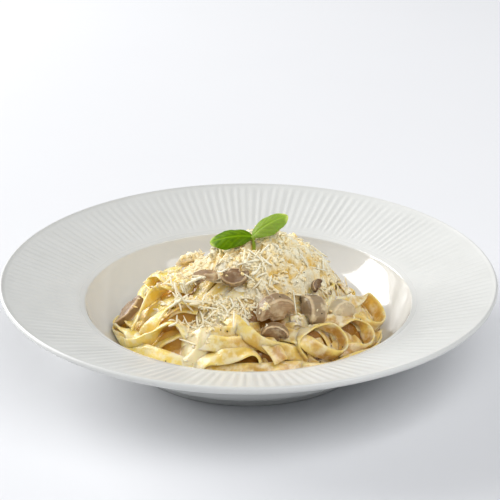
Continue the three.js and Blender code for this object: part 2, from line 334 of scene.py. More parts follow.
def porcelain_paint():
    paint = Paint("porcelain", Roughness=0.2, IOR=1.62)
    level = {0: paint.where, 1: (1, 1, 0)}
    flat = paint.add("VectorMath", level, operation="MULTIPLY").outputs[0]
    radius = paint.add("VectorMath", {0: flat}, operation="LENGTH").outputs["Value"]
    on_rim = paint.curve(radius, (WELL_RADIUS - 1) * MM, (WELL_RADIUS + 5) * MM)
    mottle = paint.noise(22, detail=4)
    paint.link("Base Color", paint.mix(mottle, (214, 215, 212), (222, 223, 221)))
    polish = paint.math("MULTIPLY", on_rim, paint.curve(mottle, 0.3, 0.7, 0.26, 0.34))
    paint.link("Roughness", paint.math("ADD", polish, 0.07))
    paint.bump(paint.noise(0.7, detail=2), 0.012)
    return paint.material


def pasta_paint():
    paint = Paint("pasta", IOR=1.42, Coat_Weight=0.8, Coat_Roughness=0.12)
    paint.scatter(0.55, 0.004, (1.0, 0.85, 0.3))
    # strand: a random tone for each noodle, with painted light and shade on top of it: noodles
    # lighter and yellower towards the left, where light shines through them, and darker towards the
    # right, in shade.
    strand = paint.attribute("strand")
    dough = paint.mix(strand, (192, 146, 74), (255, 222, 98))
    dough = paint.mix(paint.curve(paint.noise(9, detail=4), 0.4, 0.75), dough, (252, 216, 118))
    film = paint.curve(paint.noise(5, detail=6), 0.34, 0.66, 0, 0.72)
    film = paint.math("ADD", film, paint.attribute("sauced"))
    # Painted highlight: both sides of every noodle are painted lighter.
    dough = paint.mix(paint.attribute("edge"), dough, (255, 216, 130))
    paint.link("Base Color", paint.mix(paint.curve(film, 0.1, 1.1, 0, 0.9), dough, (253, 236, 200)))
    paint.link("Roughness", paint.curve(film, 0, 1, 0.36, 0.5))
    grain = paint.noise(1.1, detail=4)
    grain = paint.math("ADD", grain, paint.math("MULTIPLY", paint.noise(4), 0.8))
    paint.bump(grain, 0.22, coat=True)
    return paint.material


def sauce_paint():
    paint = Paint("cream_sauce", IOR=1.4, Coat_Weight=0.6, Coat_Roughness=0.08)
    paint.scatter(0.5, 0.004, (1.0, 0.7, 0.35))
    thick = paint.attribute("thick")
    tone = paint.mix(paint.noise(12, detail=4), (243, 221, 164), (251, 237, 198))
    # Thin sauce is painted dark golden brown, a painted shade of the deep gaps between the noodles,
    # and lighter towards the left by lit, a painted light.
    thin = paint.mix(paint.attribute("lit"), (158, 108, 34), (214, 164, 66))
    tone = paint.mix(paint.curve(thick, 0.0, 0.7), thin, tone)
    flecks = paint.curve(paint.noise(1.4, detail=2), 0.66, 0.74)
    paint.link("Base Color", paint.mix(flecks, tone, (222, 190, 118)))
    paint.link("Roughness", paint.curve(paint.noise(6), 0.3, 0.7, 0.22, 0.4))
    paint.bump(paint.noise(2.2, detail=4), 0.25, coat=True)
    return paint.material


def mushroom_paint():
    paint = Paint("mushroom", IOR=1.4, Coat_Weight=0.4, Coat_Roughness=0.16)
    paint.scatter(0.2, 0.002, (1.0, 0.6, 0.3))
    cloudy = paint.noise(5, detail=5)
    streaks = paint.math("MULTIPLY", paint.attribute("stria"), paint.curve(cloudy, 0.3, 0.6))
    flesh = paint.mix(streaks, (182, 147, 108), (198, 167, 128))
    flesh = paint.mix(paint.curve(paint.noise(9), 0.42, 0.66), flesh, (152, 116, 80))
    flesh = paint.mix(paint.attribute("rim"), flesh, (208, 180, 140))
    skin = paint.mix(cloudy, (124, 98, 70), (162, 134, 98))
    flesh = paint.mix(paint.attribute("skin"), flesh, skin)
    # gill: the dark gills, and on some slices painted shade over the whole cut face.
    flesh = paint.mix(paint.attribute("gill"), flesh, (86, 56, 26))
    film = paint.curve(paint.noise(7, detail=4), 0.5, 0.66, 0, 0.6)
    film = paint.math("ADD", film, paint.attribute("sauced"))
    paint.link("Base Color", paint.mix(paint.curve(film, 0, 1.2, 0, 0.85), flesh, (240, 224, 186)))
    paint.link("Roughness", paint.curve(film, 0, 1, 0.4, 0.32))
    paint.bump(paint.noise(0.9, detail=4), 0.16, coat=True)
    return paint.material


def cheese_paint(name, shade, light, relief):
    paint = Paint(name, IOR=1.4, Specular_IOR_Level=0.4)
    # The tone goes from shade to light: a random tone on the shreds, and on the bed painted shade in
    # its hollows and painted light on its lumps.
    tone = paint.mix(paint.attribute("strand"), shade, light)
    paint.link("Base Color", paint.mix(paint.curve(paint.noise(3), 0.4, 0.7, 0, 0.6), tone, light))
    paint.link("Roughness", paint.curve(paint.noise(2), 0.3, 0.7, 0.42, 0.62))
    paint.bump(paint.noise(1.1, detail=4), relief)
    return paint.material


def basil_paint():
    paint = Paint("basil", IOR=1.45, Specular_IOR_Level=0.1)
    paint.scatter(0.4, 0.0015, (0.6, 1.0, 0.1))
    leaf = paint.mix(paint.noise(4, detail=4), (58, 92, 0), (112, 144, 0))
    leaf = paint.mix(paint.attribute("vein"), leaf, (132, 168, 10))
    # Paler towards yellow-green: the underside and the stalk, and painted light and painted
    # highlight on the leaves and their tips.
    leaf = paint.mix(paint.attribute("pale_and_sheen"), leaf, (196, 214, 110))
    paint.link("Base Color", leaf)
    paint.link("Roughness", paint.curve(paint.noise(1.5), 0.3, 0.7, 0.34, 0.5))
    paint.bump(paint.noise(0.6), 0.05)
    return paint.material


def pepper_paint():
    paint = Paint("pepper", Roughness=0.6)
    paint.link("Base Color", paint.mix(paint.noise(0.6), (34, 30, 18), (78, 74, 36)))
    paint.bump(paint.noise(0.2), 0.05)
    return paint.material


# ---- plate


def curve_through(start, pull, end, share):
    """Points on a curve that leaves start towards pull and arrives at end from there."""
    return start * (1 - share) ** 2 + 2 * pull * share * (1 - share) + end * share**2


def arc(centre, axes, first, last, count):
    """Points on an ellipse in section, by degrees from straight down."""
    turn = np.radians(np.linspace(first, last, count))[:, None]
    return centre + axes * np.hstack([np.sin(turn), -np.cos(turn)])


def plate_section():
    """(radius, height) from the centre of the well over the rim and back under it."""
    centre = np.array([FLOOR_RADIUS, FLOOR_HEIGHT + WALL_ARC[1]])
    floor = [[radius, FLOOR_HEIGHT] for radius in (1, 20, 40)]
    wall = arc(centre, WALL_ARC, 0, 46, 14)
    slope = (RIM_HEIGHT - WELL_EDGE) / (RIM_RADIUS - WELL_RADIUS)
    rim_r = np.linspace(WELL_RADIUS + 0.6, RIM_RADIUS - LIP, 26)
    rim = np.stack([rim_r, WELL_EDGE + (rim_r - WELL_RADIUS) * slope], 1)
    edge = np.array([[-1.0, -1.6], [-0.75, -0.7], [-0.5, -0.25], [-0.1, -0.03]])
    edge += [WELL_RADIUS, WELL_EDGE]
    upper = curve_through(wall[-1], WALL_BEND, edge[0], np.linspace(0, 1, 12)[1:-1, None])
    lip = arc([RIM_RADIUS - LIP, RIM_HEIGHT - LIP], LIP, 165, 30, 9)
    under_r = np.linspace(RIM_RADIUS - 7, WELL_RADIUS + WALL_THICKNESS + 4, 8)
    under = np.stack([under_r, WELL_EDGE + (under_r - WELL_RADIUS) * slope - WALL_THICKNESS], 1)
    body = arc(centre, WALL_ARC + WALL_THICKNESS, 78, 28, 12)
    inside = FOOT_RADIUS - FOOT_WIDTH
    foot = [
        *([FOOT_RADIUS + out, up] for out, up in ((0.1, 0.9), (-0.6, 0.1), (-1.2, 0))),
        *([inside + out, up] for out, up in ((1.2, 0), (0.3, 0.4), (-0.6, RECESS), (-4, RECESS))),
        [1, RECESS],
    ]
    return np.concatenate([floor, wall, upper, edge, rim, lip, under, body, foot])


def make_plate():
    section = plate_section()
    columns = RIBS * RIB_SAMPLES
    angle = np.linspace(0, 2 * np.pi, columns, endpoint=False)
    radius, height = (part[:, None].repeat(columns, 1) for part in section.T)
    # Ribs vary a little in spacing, and each has a depth, a start and an end of its own.
    drift = sum(np.sin(k * angle + phase) / k for k, phase in [(7, 1), (13, 4), (29, 2), (41, 5)])
    phase = RIBS * angle + 2.2 * drift
    which = np.floor(phase / (2 * np.pi)).astype(int) % RIBS
    depths = 0.55 + 0.55 * rng.random(RIBS + 12)[which]
    starts = RIB_START + 4 * rng.random(RIBS)[which]
    ends = RIB_END + 3 * rng.random(RIBS)[which]
    wave = (0.5 + 0.5 * np.cos(phase)) ** 0.8 * depths
    on_top = np.arange(len(section)) < np.argmax(section[:, 0])
    band = ramp(radius, starts, starts + RIB_FADE) * on_top[:, None]
    band *= 1 - ramp(radius, ends + 2 - RIB_FADE, ends + 2)
    height -= RIB_DEPTH * band * wave
    rings = np.stack([radius * np.cos(angle), radius * np.sin(angle), height], 2).reshape(-1, 3)
    points = np.concatenate([rings, [[0, 0, FLOOR_HEIGHT], [0, 0, RECESS]]])
    faces = ringed_faces(len(section), columns)
    placed(mesh_object("ribbed_plate", points, faces, porcelain_paint()), "porcelain", "plate")


# ---- mushrooms

SLICE = {"cap_width": 25, "cap_height": 12, "stem_width": 8}
# x, y, lift off the mound, turn about its normal, lean back from it, spin in the slice's own plane,
# size, stem length, thickness, how dark its gills and cut face are painted (dark gills, and painted
# shade over the face of a slice in shadow) and how much sauce covers it.
SLICES = [
    (14.5, -44.5, 4.8, 8, -60, -4, 0.98, 2.5, 9, 0.0, 0.0),
    (14.5, -55, 2.4, -20, -50, 8, 0.66, 2, 6.5, 0.6, 0.0),
    (36, -24, 6, -40, -20, 60, 0.38, 1, 3.5, 1.0, -0.3),
    (35, -37.2, 3.3, -106, -82, 0, 0.76, 1, 12, 1.0, 0.34),
    (51.5, -28, 3.6, -30, -45, -6, 0.84, 2, 7, 0.2, 0.75),
    (-23.5, -23.5, 6, 20, 34, 92, 0.76, 5, 4.5, 0.3, -0.2),
    (-7.5, -28, 4.6, 10, -12, 176, 0.72, 2, 5, 0.62, -0.3),
    (-68, -5, 4.4, 0, 4, -84, 0.95, 2, 5, 0.5, -0.5),
    (-34, 50, 4, 0, 10, 30, 0.9, 7, 5, 0.5, 1.0),
    (44, 54, 3.5, 0, 10, 140, 0.85, 6, 5, 0.5, 0.2),
]


def turn_about(axis, degrees):
    """A turn about X, Y or Z (0 to 2) as a matrix."""
    c, s = np.cos(np.radians(degrees)), np.sin(np.radians(degrees))
    first, second = (axis + 1) % 3, (axis + 2) % 3
    matrix = np.eye(3)
    matrix[[first, first, second, second], [first, second, first, second]] = c, -s, s, c
    return matrix


def slice_pose(x, y, lift, turn, lean, spin):
    """The place of a slice's middle, and its own axes as the columns of a turn."""
    place = np.array([x, y, 0.0])
    place[2] = heap_height(MOUND, place)
    outward = heap_normal(MOUND, place)
    level = unit(np.cross([0, 0, 1], outward))
    uphill = np.cross(outward, level)
    axes = np.stack([level, uphill, outward], 1)
    axes = axes @ turn_about(2, turn) @ turn_about(0, -lean) @ turn_about(2, spin)
    return place + lift * outward, axes


def slice_outline(size, stem_length, angles, middle):
    """How far a slice reaches from its middle at each angle."""
    half, top = SLICE["cap_width"] * size / 2, SLICE["cap_height"] * size
    stem = SLICE["stem_width"] * size / 2
    share = np.linspace(0, 1, 24)[:, None]

    def bend(*corners):
        return curve_through(*map(np.array, corners), share)

    right = [
        np.linspace([0, -stem_length], [stem, -stem_length], 12),
        np.linspace([stem, -stem_length], [stem * 1.1, 0], 12),
        bend([stem * 1.1, 0], [half * 0.6, 1.5], [half * 0.85, -2]),
        bend([half * 0.85, -2], [half * 1.15, top * 0.25], [half * 0.62, top * 0.78]),
        bend([half * 0.62, top * 0.78], [half * 0.3, top], [0, top]),
    ]
    outline = np.concatenate(right)
    outline = np.concatenate([outline, (outline * [-1, 1])[::-1]]) - middle
    around = np.arctan2(outline[:, 1], outline[:, 0])
    order = np.argsort(around)
    reach = np.linalg.norm(outline, axis=1)[order]
    found = np.interp(angles, around[order], reach, period=2 * np.pi)
    ring = np.concatenate([found[-3:], found, found[:3]])  # three more each way for the rounding
    return np.convolve(ring, [0.06, 0.12, 0.2, 0.24, 0.2, 0.12, 0.06], "valid")


def make_slice(index, material):
    """A slice of mushroom: two faces with a rim and gills, and the cap's skin round the edge."""
    x, y, lift, turn, lean, spin, size, stem_length, thickness, gill_and_shade, sauced = SLICES[index]
    top = SLICE["cap_height"] * size
    stem = SLICE["stem_width"] * size / 2
    columns, steps = 144, 30
    angles = np.linspace(-np.pi, np.pi, columns, endpoint=False)
    reach = slice_outline(size, stem_length, angles, [0, top * 0.5])
    uneven = 0.025 * np.sin(5 * angles + index) + 0.015 * np.sin(11 * angles + 2 * index)
    reach = reach * (1 + uneven)
    swing = np.pi / 2 * np.linspace(0.06, 1, steps) ** 2
    out, thick = np.sin(swing) ** 0.2, np.cos(swing) ** 0.38
    share = np.concatenate([out, out[-2::-1]])[:, None]
    side = np.concatenate([thick, -thick[-2::-1]])[:, None]
    across = share * reach * np.cos(angles)
    up = top * 0.5 + share * reach * np.sin(angles)
    flat = np.stack([across, up, 0 * up], 2)
    gill = ramp(-up, -top * 0.42, -top * 0.1) * ramp(np.abs(across), stem * 0.9, stem * 1.5)
    middle = (1 - ramp(share, 0.8, 0.93)) * np.ones(columns)
    comb = np.sin(np.arctan2(up - top * 1.1, across) * 70)
    depth = thickness / 2 * side
    depth = depth * (1 - 0.2 * gill + 0.08 * comb * gill)
    depth += (0.28 * waves(flat, 5, index) + 0.12 * waves(flat, 1.9, index + 2)) * np.abs(side)
    rim = ramp(share, 0.78, 0.9) * ramp(np.abs(side), 0.2, 0.55)
    dish = ramp(share, 0.5, 0.8) * ramp(0.86 - share, 0, 0.1)
    depth -= 0.3 * np.sign(side) * (1 - rim) * dish
    curl, high = 0.006 * (-1) ** index, up - top / 2
    depth += curl * across**2 - 0.004 * high**2 + 0.008 * across * high
    local = np.stack([across, up - top * 0.35, depth], 2).reshape(-1, 3)
    poles = [[0, top * 0.15, face[:, 2].mean()] for face in (local[:columns], local[-columns:])]
    place, axes = slice_pose(x, y, lift, turn, lean, spin)
    points = np.concatenate([local, poles]) @ axes.T + place
    faces = ringed_faces(2 * steps - 1, columns)
    stria = np.sin(2 * np.pi * (up / 1.3 + 0.02 * across**2) + 2.5 * waves(flat, 6, index + 1))
    skin = (1 - ramp(np.abs(side), 0.55, 0.8)) * ramp(up, 0, top * 0.25)
    marks = {
        # The gills are dark, and the middle of each face is darkened along with them: painted shade
        # on faces in shadow.
        "gill": np.append(np.maximum(gill, 0.7 * middle), [0.7, 0.7]) * gill_and_shade,
        "skin": np.append(skin, [0, 0]),
        "rim": np.append(rim + 0 * angles, [0, 0]),
        "stria": np.append(0.5 + 0.5 * stria, [0.5, 0.5]),
        "sauced": sauced,
    }
    made = mesh_object(f"champignon_{index + 1}", points, faces, material, **marks)
    placed(made, "mushroom", f"mushroom_{index + 1}")
    return points, faces


# ---- noodles

ROW, COLUMNS = 2.4, 5  # spacing of a noodle's points along it, and how many lie across it
STRIDE = 4.0  # of the paths that wander over the heap
CLEARANCE = 2.1  # between the middles of two noodles that touch
CORE_DEPTH = 8.5  # from the outer noodles down to the solid core of the heap
CORE_BUMP = 1.2  # how uneven that core is
LAYERS, BUNDLES, STRANDS = 4, 4, 3  # of the noodles that fill the heap
LAYER_ROUNDS, LAST_ROUNDS = 40, 120  # of settling
ROUTE_HOLD = 0.06  # how strongly the noodles that show most keep to their routes
# How far below the heap's surface noodles have to stay: in front, behind, and on a route.
CEILINGS = 2.6, -1.0, -5.0
GOLDEN_TURN = 137.5  # degrees from one bundle to the next, which spreads them evenly
EDGE_WAVE = 0.12

# The noodles that show most: points as (azimuth, height, lift off the heap).
NOODLE_ROUTES = {
    "eye": [(-66, 24, -6), (-68, 33, 0), (-62, 36, 1), (-52, 37, 2), (-44, 33, 2), (-43, 26, 2),
        (-49, 22, 3), (-57, 25, 3), (-65, 33, 2), (-72, 37, -2), (-80, 41, -6)],
    "right_loop": [(-50, 39, -6), (-44, 36, -1), (-35, 35, 1), (-27, 31, 2), (-24, 25, 2),
        (-28, 19, 2), (-36, 19, 1), (-43, 24, -2), (-50, 26, -6)],
    "far_ring": [(-30, 44, -6), (-22, 38, 0), (-8, 35, 1), (4, 29, 2), (3, 21, 2), (-8, 19, 1),
        (-20, 23, 1), (-26, 31, 0), (-30, 39, -5)],
    "folded_end": [(-88, 40, -8), (-85, 37, -3), (-82, 34, 1), (-80, 31, 3), (-78, 27, 3.5),
        (-77, 24, 3.5)],
    "front_band": [(-122, 18, -7), (-115, 22, -2), (-109, 26, 1), (-102, 27, 2), (-95, 29, 2),
        (-89, 30, 1), (-86, 27, -2), (-84, 23, -6)],
    "second_band": [(-126, 28, -7), (-119, 31, -2), (-112, 32, 1), (-103, 32, 1), (-94, 34, -1),
        (-86, 35, -6)],
    "third_band": [(-130, 30, -7), (-122, 34, -2), (-114, 36, 0), (-103, 37, 0), (-93, 39, -2),
        (-84, 41, -7)],
    "slanting": [(-109, 46, -6), (-102, 43, 0), (-96, 39.5, 1), (-91, 36, 2), (-86, 33, 2),
        (-80, 31, 1), (-73, 29, 0), (-66, 27, -4), (-60, 25, -7)],
    "left_outer": [(-176, 10, -4), (-166, 12, 0), (-154, 17, 2), (-146, 22, 3), (-143, 28, 3),
        (-139, 34, 3), (-131, 36, 1), (-125, 33, -2), (-119, 31, -6)],
    "left_middle": [(-156, 18, -6), (-150, 25, 0), (-148, 32, 2), (-146, 38, 3), (-141, 44, 2),
        (-132, 47, 0), (-122, 49, -5)],
    "left_upper": [(-156, 14, -4), (-161, 22, 1), (-164, 31, 3), (-168, 37, 3), (-167, 43, 3),
        (-157, 48, 1), (-147, 52, -4)],
    "hook": [(-156, 50, -5), (-165, 48, 0), (-174, 46, 3), (177, 44, 6), (173, 40, 6),
        (178, 37, 4), (-172, 37, -2), (-164, 35, -6)],
    "left_low": [(-140, 18, -4), (-150, 19, 1), (-158, 22, 2), (-166, 19, 2), (-175, 14, 2),
        (-178, 18, 1), (-170, 23, -1), (-160, 26, -5)],
    "left_bottom": [(172, 14, -3), (-176, 12, 0), (-164, 14, 1), (-150, 18, 1), (-138, 20, 1),
        (-126, 21, 0), (-116, 20, -3)],
    "front_low": [(-118, 17, -4), (-108, 20, -1), (-96, 22, 0), (-84, 22, 0), (-72, 22, 0),
        (-62, 19, -3)],
    "left_inner": [(-176, 18, -4), (-168, 28, -3), (-160, 38, -3), (-150, 46, -4)],
    "left_filling": [(-164, 16, -4), (-156, 26, -3), (-150, 35, -3), (-140, 43, -3),
        (-128, 46, -5)],
    "low_filling": [(-150, 16, -4), (-142, 25, -3), (-134, 32, -3), (-126, 35, -4)],
    "right_low": [(-74, 23, -5), (-64, 19, 0), (-54, 17, 1), (-42, 16, 1), (-30, 14, 1),
        (-16, 13, -2)],
    "back_left": [(146, 14, -3), (151, 22, 0), (156, 31, 0), (161, 40, 0), (167, 48, -3)],
    "back_left_beside": [(158, 14, -3), (162, 22, -0.5), (166, 31, -0.5), (170, 39, -2),
        (174, 46, -5)],
    "back_left_across": [(136, 26, -4), (148, 29, 0.5), (158, 30, 1), (167, 29, 0), (175, 25, -4)],
    "right_band": [(-66, 41, -5), (-54, 40, -1), (-44, 41, 0), (-32, 41, 0), (-22, 43, -3),
        (-12, 45, -7)],
}


def ribbon_rows(path):
    """Rows of points across a noodle along path. A strip bends only about its own width,
    so its face turns to follow the bend of the path, and lies on the heap where that is slight."""
    tangent = unit(np.gradient(path, axis=0))
    bend = smoothed(np.gradient(tangent, axis=0) / ROW, 3)
    normal = heap_normal(HEAP, path)
    normal = unit(normal - (normal * tangent).sum(1, keepdims=True) * tangent)
    pull = bend[:, :, None] * bend[:, None, :] + 0.018**2 * normal[:, :, None] * normal[:, None, :]
    face = np.linalg.eigh(smoothed(pull, 4))[1][:, :, 2]
    for i in range(1, len(face)):
        if face[i] @ face[i - 1] < 0:
            face[i] *= -1
    across = unit(np.cross(tangent, smoothed(face, 3)))
    offsets = np.linspace(-0.5, 0.5, COLUMNS) * NOODLE_WIDTH
    return path[:, None, :] + across[:, None, :] * offsets[None, :, None]


def wandering_path(azimuth, share, heading, length, looped):
    """A path over the heap whose heading drifts and that keeps off its edge, with a loop in it
    where asked. Its points are on the outer noodles' own surface."""
    turn = np.radians(azimuth)
    centre = np.array([HEAP["x"], HEAP["y"]])
    place = centre + HEAP["radius"] * share * np.array([np.cos(turn), np.sin(turn)])
    drifts = rng.normal(size=3) * 0.035
    phases = rng.random(3) * 2 * np.pi
    loop_starts = rng.uniform(0.3, 0.6) * length
    loop_turn = rng.choice([-1, 1]) * STRIDE / rng.uniform(9, 13)
    points = []
    for along in np.arange(0, length, STRIDE):
        reach = place - centre
        far = np.linalg.norm(reach) / HEAP["radius"]
        if far > 0.86:  # turn back to the side that is nearer
            side = np.sin(heading - np.arctan2(reach[1], reach[0]))
            heading += 0.3 * (np.sign(side) or 1) * ramp(far, 0.86, 0.98)
        heading += sum(
            drift * np.sin(along / period + phase)
            for drift, period, phase in zip(drifts, (14, 25, 45), phases)
        )
        if looped and 0 < along - loop_starts < 2 * np.pi * STRIDE / abs(loop_turn):
            heading += loop_turn
        slope = 2 * (HEAP["peak"] - HEAP["base"]) * reach / HEAP["radius"] ** 2
        step = np.array([np.cos(heading), np.sin(heading)])
        place = place + step * STRIDE / np.sqrt(1 + (step @ slope) ** 2)
        points.append([*place, 0.0])
    points = np.array(points)
    points[:, 2] = heap_height(HEAP, points)
    return points


def bundle(azimuth, share, lift, looped):
    """Rows of points of some noodles that run side by side and drift apart a little."""
    heading, length = rng.random() * 2 * np.pi, rng.uniform(100, 190)
    middle = wandering_path(azimuth, share, heading, length, looped)
    tangent = unit(np.gradient(middle, axis=0))
    normal = heap_normal(HEAP, middle)
    beside = np.cross(normal, tangent)
    strands = []
    for k in range(STRANDS):
        offset = (k - (STRANDS - 1) / 2) * (NOODLE_WIDTH + 0.9)
        along = np.arange(len(middle))[:, None] * STRIDE
        sway = 1.6 * np.sin(along / rng.uniform(18, 40) + rng.random() * 6)
        rise = lift + 1.2 * np.sin(along / rng.uniform(10, 18) + rng.random() * 6)
        path = middle + beside * (offset + sway) + normal * rise
        cut = rng.integers(0, 6, 2)
        strands.append(ribbon_rows(spline(path[cut[0] : len(path) - cut[1]], ROW)))
    return strands


def close_pairs(points, reach):
    """Pairs of points nearer to each other than reach, found with a grid of cells."""
    cells = np.floor((points - points.min(0)) / reach).astype(np.int64) + 1
    sides = cells.max(0) + 2
    key = (cells[:, 0] * sides[1] + cells[:, 1]) * sides[2] + cells[:, 2]
    order = np.argsort(key, kind="stable")
    ordered = key[order]
    firsts, seconds = [], []
    for x, y, z in product((-1, 0, 1), repeat=3):
        if (x, y, z) < (0, 0, 0):
            continue
        other = key + (x * sides[1] + y) * sides[2] + z
        start = np.searchsorted(ordered, other, "left")
        count = np.searchsorted(ordered, other, "right") - start
        for k in range(int(count.max(initial=0))):
            first = np.nonzero(count > k)[0]
            second = order[start[first] + k]
            if (x, y, z) == (0, 0, 0):
                first, second = first[second > first], second[second > first]
            gap = ((points[first] - points[second]) ** 2).sum(1)
            near = gap < reach * reach
            firsts.append(first[near])
            seconds.append(second[near])
    return np.concatenate(firsts), np.concatenate(seconds)


def strip_links(points, starts, rows):
    """The links that hold each noodle's grid of points in shape, in sets where no point starts or
    ends two: (first points, second points, lengths, stiffness). Long links keep their length."""
    width = NOODLE_WIDTH / (COLUMNS - 1)
    links = []

    def add(steps_along, steps_across, parity, rest, stiffness):
        for wanted in (0, 1):
            first = []
            for start, count in zip(starts, rows):
                i, j = np.indices((count, COLUMNS))
                keep = (parity(i, j) == wanted) & (i + steps_along < count)
                keep &= (j + steps_across < COLUMNS) & (j + steps_across >= 0)
                first.append((start + i * COLUMNS + j)[keep])
            first = np.concatenate(first)
            second = first + steps_along * COLUMNS + steps_across
            long = np.linalg.norm(points[second] - points[first], axis=1)
            links.append((first, second, long if rest is None else rest, stiffness))

    # Steps along and across, which of two sets a link is in, its length and its stiffness.
    diagonal = np.hypot(ROW, width)
    add(1, 0, lambda i, j: i % 2, ROW, 1.0)
    add(0, 1, lambda i, j: j % 2, width, 1.0)
    add(0, COLUMNS - 1, lambda i, j: 0 * i, NOODLE_WIDTH, 0.9)
    add(1, 1, lambda i, j: i % 2, diagonal, 0.6)
    add(1, -1, lambda i, j: i % 2, diagonal, 0.6)
    add(2, 0, lambda i, j: i // 2 % 2, 2 * ROW, 0.35)
    add(4, 0, lambda i, j: i // 4 % 2, None, 0.12)
    return links


def settle(grids, held, ceilings, sinking, obstacles, rounds):
    """Lets noodles sink onto the core and each other. held is how strongly each keeps its place,
    ceilings how far below the outer noodles it has to stay, and sinking how fast it falls.
    obstacles are (centre, radius) balls that they keep out of."""
    rows = [len(grid) for grid in grids]
    points = np.concatenate([grid.reshape(-1, 3) for grid in grids])
    goals = points.copy()
    sizes = [count * COLUMNS for count in rows]
    starts = np.concatenate([[0], np.cumsum(sizes)[:-1]])
    owner = np.repeat(np.arange(len(grids)), sizes)
    row_of = np.concatenate([np.arange(size) // COLUMNS for size in sizes])
    settings = (held, ceilings, sinking)
    hold, below, fall = (np.asarray(value, float)[owner][:, None] for value in settings)
    links = strip_links(points, starts, rows)
    core_bumps = np.sin(points[:, 0] / 9) * np.cos(points[:, 1] / 11)
    for step in range(rounds):
        late = step / rounds
        points += hold * (goals - points)
        points -= heap_normal(HEAP, points) * fall * (1 - 0.5 * late)
        if step % 4 == 0:
            first, second = close_pairs(points, CLEARANCE * 1.5)
            other = owner[first] != owner[second]
            other |= np.abs(row_of[first] - row_of[second]) >= 4
            first, second = first[other], second[other]
        for _ in range(2):
            for a, b, rest, stiffness in links:
                apart = points[b] - points[a]
                length = np.maximum(np.linalg.norm(apart, axis=1), 1e-6)
                move = apart * (0.5 * stiffness * (length - rest) / length)[:, None]
                points[a] += move
                points[b] -= move
            apart = points[second] - points[first]
            length = np.maximum(np.linalg.norm(apart, axis=1), 1e-6)
            push = np.maximum(CLEARANCE - length, 0) / length * 0.5
            move = apart * push[:, None]
            hits = np.bincount(first, push > 0, len(points))
            hits += np.bincount(second, push > 0, len(points))
            share = 1 / np.maximum(hits * 0.5, 1)
            for axis in range(3):
                shift = np.bincount(second, move[:, axis], len(points))
                shift -= np.bincount(first, move[:, axis], len(points))
                points[:, axis] += shift * share
            core = heap_height(HEAP, points, CORE_DEPTH) + CORE_BUMP * core_bumps
            deep = core - points[:, 2]
            normal = heap_normal(HEAP, points)
            points += normal * (np.maximum(deep, 0) * normal[:, 2] * 0.8)[:, None]
            proud = points[:, 2] - heap_height(HEAP, points) + below[:, 0] / normal[:, 2]
            press = 0.1 + 0.4 * late
            points -= normal * (np.maximum(proud, 0) * normal[:, 2] * press)[:, None]
            depth, way = wall_depth(points)
            points += way * depth[:, None]
            for centre, radius in obstacles:
                away = points - centre
                gap = np.linalg.norm(away, axis=1)
                points += away * (np.maximum(radius - gap, 0) / np.maximum(gap, 1e-6))[:, None]
    return [part.reshape(-1, COLUMNS, 3) for part in np.split(points, starts[1:])]


def make_noodle_grids(obstacles):
    """Settled rows of points of every noodle: the heap's layers, and then those that show most."""
    brisk = 1.0
    grids, ceilings = [], []
    for layer in range(LAYERS):
        for k in range(BUNDLES):
            share = 0.9 * np.sqrt((k + 0.5) / BUNDLES)
            azimuth = (layer * BUNDLES + k) * GOLDEN_TURN
            lift = -3.5 + 2.4 * (layer % 2 + k % 2)
            new = bundle(azimuth, share, lift, looped=k == layer % BUNDLES)
            grids += new
            in_front = np.array([grid[..., 1].mean() < -15 for grid in new])
            ceilings += list(np.where(in_front, *CEILINGS[:2]))
        free = np.zeros(len(grids))
        rounds = round(LAYER_ROUNDS * brisk)
        grids = settle(grids, free, ceilings, free + 0.4, obstacles, rounds)
    heroes = []
    for route in NOODLE_ROUTES.values():
        path = spline([on_heap(*stop) for stop in route], ROW)
        heroes.append(ribbon_rows(smoothed(path, 2)))
    held = np.repeat([0, ROUTE_HOLD], [len(grids), len(heroes)])
    ceilings = np.append(ceilings, np.full(len(heroes), CEILINGS[2]))
    sinking = np.where(held > 0, 0.04, 0.2)
    rounds = round(LAST_ROUNDS * brisk)
    return settle(grids + heroes, held, ceilings, sinking, obstacles, rounds)


def noodle_mesh(grid):
    """Points and faces of a noodle with rounded edges, from its settled rows."""
    grid = smoothed(grid, 1)
    rows = np.arange(0, len(grid) - 0.999, 0.5)
    low = np.floor(rows).astype(int)
    high = np.minimum(low + 1, len(grid) - 1)
    grid = grid[low] + (grid[high] - grid[low]) * (rows - low)[:, None, None]
    grid = smoothed(grid, 1)
    along = unit(np.gradient(grid, axis=0))
    across = unit(np.gradient(grid, axis=1))
    face = unit(np.cross(along, across))
    count = len(grid)
    half = NOODLE_THICKNESS / 2
    swell = np.array([0.72, 0.96, 1, 0.96, 0.72])[None, :, None]
    row = np.arange(count)[:, None]
    taper = np.minimum(1, 0.55 + 0.45 * np.minimum(row, row[::-1]) / 2)[:, :, None]
    ripple = EDGE_WAVE * np.sin(row / 3.1 + np.arange(COLUMNS) * 1.4)[:, :, None]
    lift = face * half * swell * taper
    top, under = grid + lift + face * ripple, grid - lift + face * ripple
    side = across[:, [0, -1]] * half * 0.75
    left = grid[:, :1] - side[:, :1] + face[:, :1] * ripple[:, :1]
    right = grid[:, -1:] + side[:, 1:] + face[:, -1:] * ripple[:, -1:]
    ring = np.concatenate([left, top, right, under[:, ::-1]], 1)
    size = ring.shape[1]
    # Marks both sides of the noodle, which the pasta paints lighter as a painted highlight.
    edge = np.tile([1, 0.7, 0, 0, 0, 0.7], 2 * count)
    sides = tube_faces(count, size)
    ends = []
    for base, flip in ((0, 1), ((count - 1) * size, -1)):
        for k in range(size // 2 - 1):
            quad = [base + k, base + k + 1, base + size - k - 2, base + size - k - 1]
            ends.append(quad[::flip])
    return ring.reshape(-1, 3), [np.concatenate([sides, np.array(ends)])], edge


